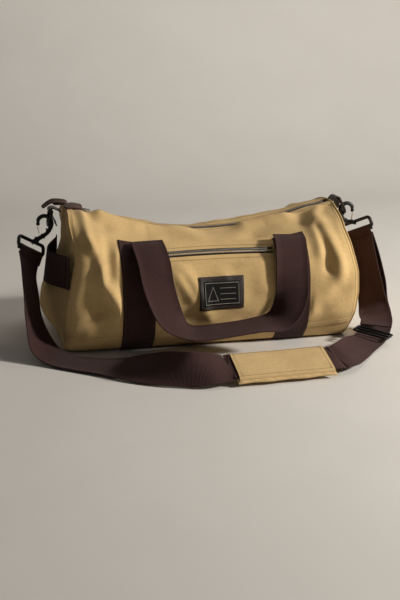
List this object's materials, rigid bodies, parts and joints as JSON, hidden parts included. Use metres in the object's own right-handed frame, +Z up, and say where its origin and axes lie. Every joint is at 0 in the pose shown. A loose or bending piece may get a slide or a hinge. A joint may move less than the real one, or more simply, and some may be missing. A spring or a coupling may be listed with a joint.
{
  "type": "duffel bag",
  "caption": "Barrel-shaped canvas duffel with sagging zipped mouth, webbing carry handles, flat front pocket and clip-on padded shoulder strap.",
  "frame": {"origin": "centre of the flat base, on the surface the bag stands on", "axes": "+X along the bag from the grab-handle end to the other end, +Y from the pocket side to the plain side, +Z up"},
  "size_m": [0.5997, 0.4784, 0.2222],
  "materials": {
    "canvas": "cotton twill canvas, matte",
    "webbing": "ribbed cotton webbing, matte",
    "zip_tape": "woven zip tape, matte",
    "zip_metal": "antique nickel, satin",
    "leather": "oiled leather, semi-matte",
    "label": "woven damask label, matte",
    "hook_plastic": "moulded acetal, glossy",
    "gate_wire": "spring wire, bright"
  },
  "bodies": {
    "bag": {"base_panel": "canvas", "front_panel": "canvas", "back_panel": "canvas", "left_end_panel": "canvas", "right_end_panel": "canvas", "pocket_panel": "canvas", "left_webbing_band": "webbing", "right_webbing_band": "webbing", "end_handle_front_tab": "webbing", "end_handle_back_tab": "webbing", "left_strap_anchor": "webbing", "right_strap_anchor": "webbing", "left_d_ring": "hook_plastic", "right_d_ring": "hook_plastic", "pocket_zip_lower_tape": "zip_tape", "pocket_zip_upper_tape": "zip_tape", "pocket_zip_lower_teeth": "zip_metal", "pocket_zip_upper_teeth": "zip_metal", "leather_patch": "leather", "woven_label": "label", "front_left_end_zip_tape": "zip_tape", "front_left_end_zip_teeth": "zip_metal", "front_right_end_zip_tape": "zip_tape", "front_right_end_zip_teeth": "zip_metal", "back_left_end_zip_tape": "zip_tape", "back_left_end_zip_teeth": "zip_metal", "back_right_end_zip_tape": "zip_tape", "back_right_end_zip_teeth": "zip_metal"},
    "front_lip": {"mouth_front_panel": "canvas", "front_mouth_zip_tape": "zip_tape", "front_mouth_zip_teeth": "zip_metal"},
    "back_lip": {"mouth_back_panel": "canvas", "back_mouth_zip_tape": "zip_tape", "back_mouth_zip_teeth": "zip_metal"},
    "main_slider_1": {"zip_slider_1": "zip_metal"},
    "main_pull_1": {"pull_ring_1": "zip_metal", "zip_pull_1": "leather"},
    "main_slider_2": {"zip_slider_2": "zip_metal"},
    "main_pull_2": {"pull_ring_2": "zip_metal", "zip_pull_2": "leather"},
    "pocket_slider": {"pocket_zip_slider": "zip_metal"},
    "pocket_pull": {"pocket_zip_pull": "zip_metal"},
    "front_carry_handle": {"front_handle": "webbing"},
    "back_carry_handle": {"back_handle": "webbing"},
    "end_grab_handle": {"end_handle": "webbing"},
    "shoulder_strap": {"strap_left_run": "webbing", "strap_under_pad": "webbing", "strap_right_run": "webbing", "strap_return": "webbing", "shoulder_pad": "canvas", "shoulder_pad_sleeve": "canvas", "strap_adjuster": "hook_plastic", "left_swivel_ring": "hook_plastic", "right_swivel_ring": "hook_plastic", "left_snap_hook": "hook_plastic", "right_snap_hook": "hook_plastic"},
    "left_gate": {"left_wire_gate": "gate_wire"},
    "right_gate": {"right_wire_gate": "gate_wire"}
  },
  "joints": [
    {"name": "front_lip_open", "type": "hinge", "parent": "bag", "child": "front_lip", "pos_m": [0, -0.07, 0.182], "axis": [1, 0, 0], "range_deg": [0, 65]},
    {"name": "back_lip_open", "type": "hinge", "parent": "bag", "child": "back_lip", "pos_m": [0, 0.07, 0.182], "axis": [1, 0, 0], "range_deg": [-65, 0]},
    {"name": "slider_1_travel", "type": "hinge", "parent": "bag", "child": "main_slider_1", "pos_m": [0, 0, 0.729], "axis": [0, -1, 0], "range_deg": [0, 0.35]},
    {"name": "slider_2_travel", "type": "hinge", "parent": "bag", "child": "main_slider_2", "pos_m": [0, 0, 0.729], "axis": [0, -1, 0], "range_deg": [0, 38]},
    {"name": "pull_1_flip", "type": "hinge", "parent": "main_slider_1", "child": "main_pull_1", "pos_m": [-0.2025, 0, 0.21248], "axis": [0, 1, 0], "range_deg": [0, 100]},
    {"name": "pull_2_flip", "type": "hinge", "parent": "main_slider_2", "child": "main_pull_2", "pos_m": [-0.1795, 0, 0.20406], "axis": [0, 1, 0], "range_deg": [0, 100]},
    {"name": "pocket_slider_travel", "type": "slide", "parent": "bag", "child": "pocket_slider", "axis": [1, 0, 0], "range_m": [0, 0.15]},
    {"name": "pocket_pull_flip", "type": "hinge", "parent": "pocket_slider", "child": "pocket_pull", "pos_m": [-0.0795, -0.094, 0.1415], "axis": [-1, 0, 0], "range_deg": [0, 22]},
    {"name": "front_handle_lift", "type": "hinge", "parent": "bag", "child": "front_carry_handle", "pos_m": [0, -0.091, 0.17], "axis": [-1, 0, 0], "range_deg": [0, 150]},
    {"name": "back_handle_lift", "type": "hinge", "parent": "bag", "child": "back_carry_handle", "pos_m": [0, 0.091, 0.17], "axis": [1, 0, 0], "range_deg": [0, 150]},
    {"name": "end_handle_lift", "type": "hinge", "parent": "bag", "child": "end_grab_handle", "pos_m": [-0.2405, 0, 0.124], "axis": [0, 1, 0], "range_deg": [0, 6]},
    {"name": "strap_swing", "type": "hinge", "parent": "bag", "child": "shoulder_strap", "pos_m": [0, 0, 0.184], "axis": [-1, 0, 0], "range_deg": [0, 43]},
    {"name": "left_gate_press", "type": "hinge", "parent": "shoulder_strap", "child": "left_gate", "pos_m": [-0.2576, 0, 0.171], "axis": [0, 1, 0], "range_deg": [0, 22], "stiffness_Nm_per_rad": 0.05},
    {"name": "right_gate_press", "type": "hinge", "parent": "shoulder_strap", "child": "right_gate", "pos_m": [0.2576, 0, 0.171], "axis": [0, -1, 0], "range_deg": [0, 22], "stiffness_Nm_per_rad": 0.05}
  ],
  "couplings": [
    {"joint": "back_lip_open", "follows": "front_lip_open", "ratio": -1}
  ]
}
